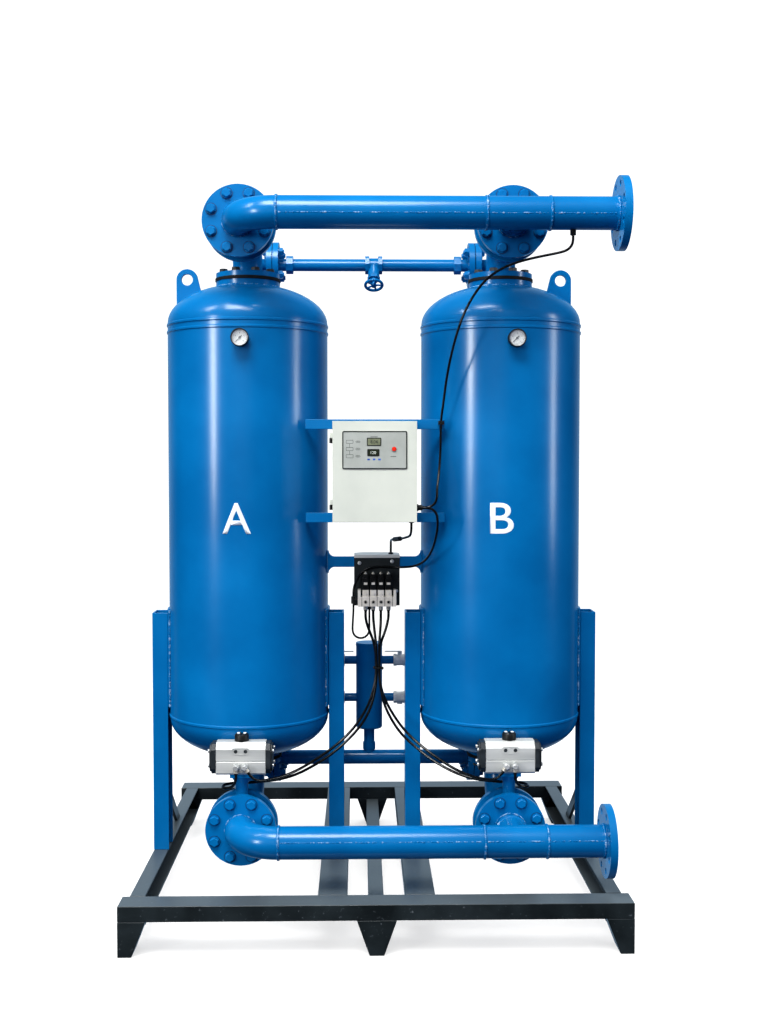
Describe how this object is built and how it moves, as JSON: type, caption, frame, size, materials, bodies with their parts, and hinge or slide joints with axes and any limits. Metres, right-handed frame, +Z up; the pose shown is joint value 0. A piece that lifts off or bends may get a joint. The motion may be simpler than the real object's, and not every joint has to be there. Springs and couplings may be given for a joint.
{
  "type": "desiccant air dryer",
  "caption": "Twin-tower desiccant compressed-air dryer on a steel skid, with flanged headers, actuated inlet valves, purge line, silencer and control box.",
  "frame": {"origin": "on the floor under the middle of the skid", "axes": "+X to the right with the flanged ends, +Y to the rear, +Z up; the control box faces -Y"},
  "size_m": [1.38, 1.272, 2.085],
  "materials": {
    "tower_paint": "gloss blue enamel",
    "skid_paint": "satin charcoal",
    "box_paint": "white powder coat",
    "hood_paint": "gloss black",
    "cap_coat": "satin black",
    "bare_steel": "zinc plated",
    "cast_body": "dark cast",
    "anodised": "matt anodised",
    "nickel_brass": "nickel plated",
    "gasket_rubber": "matt",
    "desiccant": "packed white beads",
    "black_plastic": "moulded",
    "black_tube": "smooth",
    "panel_film": "grey printed film",
    "red_plastic": "smooth",
    "cream_plastic": "moulded",
    "gauge_glass": "clear"
  },
  "bodies": {
    "dryer": {"skid_cross_beams": "skid_paint", "skid_side_rails": "skid_paint", "skid_middle_rails": "skid_paint", "skid_centre_rail": "skid_paint", "skid_feet": "skid_paint", "leg_braces": "skid_paint", "outer_legs": "tower_paint", "inner_legs": "tower_paint", "leg_pads": "tower_paint", "tower_a": "tower_paint", "tower_b": "tower_paint", "lifting_lugs": "tower_paint", "outlet_header": "tower_paint", "inlet_header": "tower_paint", "top_risers": "tower_paint", "bottom_risers": "tower_paint", "purge_pipes": "tower_paint", "purge_valve": "tower_paint", "exhaust_header": "tower_paint", "silencer": "tower_paint", "branch_pipes": "tower_paint", "inlet_valves": "tower_paint", "tie_bar": "tower_paint", "box_brackets": "tower_paint", "desiccant_beds": "desiccant", "bed_screens": "bare_steel", "branch_valves": "bare_steel", "flange_bolts": "bare_steel", "air_fittings": "nickel_brass", "flange_gaskets": "gasket_rubber", "check_valves": "cast_body", "actuator_bodies": "anodised", "actuator_caps": "cap_coat", "gauge_cases": "black_plastic", "gauge_glasses": "gauge_glass", "control_box": "box_paint", "box_hinges": "black_plastic", "controller": "bare_steel", "valve_hood": "hood_paint", "solenoid_manifold": "cream_plastic", "solenoid_coils": "black_plastic", "cable_glands": "black_plastic", "air_tube_a1": "black_tube", "air_tube_a2": "black_tube", "air_tube_b1": "black_tube", "air_tube_b2": "black_tube", "sensor_cable": "black_tube", "valve_cable": "black_tube", "hood_cable": "black_tube", "loop_cable": "black_tube"},
    "box_door": {"box_door": "box_paint", "control_panel": "panel_film"},
    "red_button": {"red_button": "red_plastic"},
    "valve_spindle_a": {"valve_spindle_a": "black_plastic"},
    "valve_spindle_b": {"valve_spindle_b": "black_plastic"},
    "purge_handwheel": {"purge_handwheel": "tower_paint"},
    "branch_lever_a": {"branch_lever_a": "bare_steel"},
    "branch_lever_b": {"branch_lever_b": "bare_steel"},
    "gauge_pointer_a": {"gauge_pointer_a": "black_plastic"},
    "gauge_pointer_b": {"gauge_pointer_b": "black_plastic"}
  },
  "joints": [
    {"name": "door_hinge", "type": "hinge", "parent": "dryer", "child": "box_door", "pos_m": [-0.126, -0.406, 1.289], "axis": [0, 0, -1], "range_deg": [0, 120]},
    {"name": "button_press", "type": "slide", "parent": "box_door", "child": "red_button", "axis": [0, 1, 0], "range_m": [0, 0.002], "stiffness_N_per_m": 800},
    {"name": "inlet_valve_a_turn", "type": "hinge", "parent": "dryer", "child": "valve_spindle_a", "pos_m": [-0.382, -0.377, 0.275], "axis": [0, 0, 1], "range_deg": [0, 90]},
    {"name": "inlet_valve_b_turn", "type": "hinge", "parent": "dryer", "child": "valve_spindle_b", "pos_m": [0.382, -0.377, 0.275], "axis": [0, 0, 1], "range_deg": [0, 90]},
    {"name": "purge_wheel_turn", "type": "hinge", "parent": "dryer", "child": "purge_handwheel", "pos_m": [0, 0.06, 1.937], "axis": [0, -0.5, -0.866], "range_deg": [0, 1080]},
    {"name": "lever_a_turn", "type": "hinge", "parent": "dryer", "child": "branch_lever_a", "pos_m": [-0.113, 0.06, 0.682], "axis": [0, 0, -1], "range_deg": [0, 90]},
    {"name": "lever_b_turn", "type": "hinge", "parent": "dryer", "child": "branch_lever_b", "pos_m": [0.083, 0.06, 0.682], "axis": [0, 0, 1], "range_deg": [0, 90]},
    {"name": "gauge_a_turn", "type": "hinge", "parent": "dryer", "child": "gauge_pointer_a", "pos_m": [-0.382, -0.38, 1.666], "axis": [0, 1, 0], "range_deg": [0, 270]},
    {"name": "gauge_b_turn", "type": "hinge", "parent": "dryer", "child": "gauge_pointer_b", "pos_m": [0.4, -0.38, 1.666], "axis": [0, 1, 0], "range_deg": [0, 270]}
  ]
}
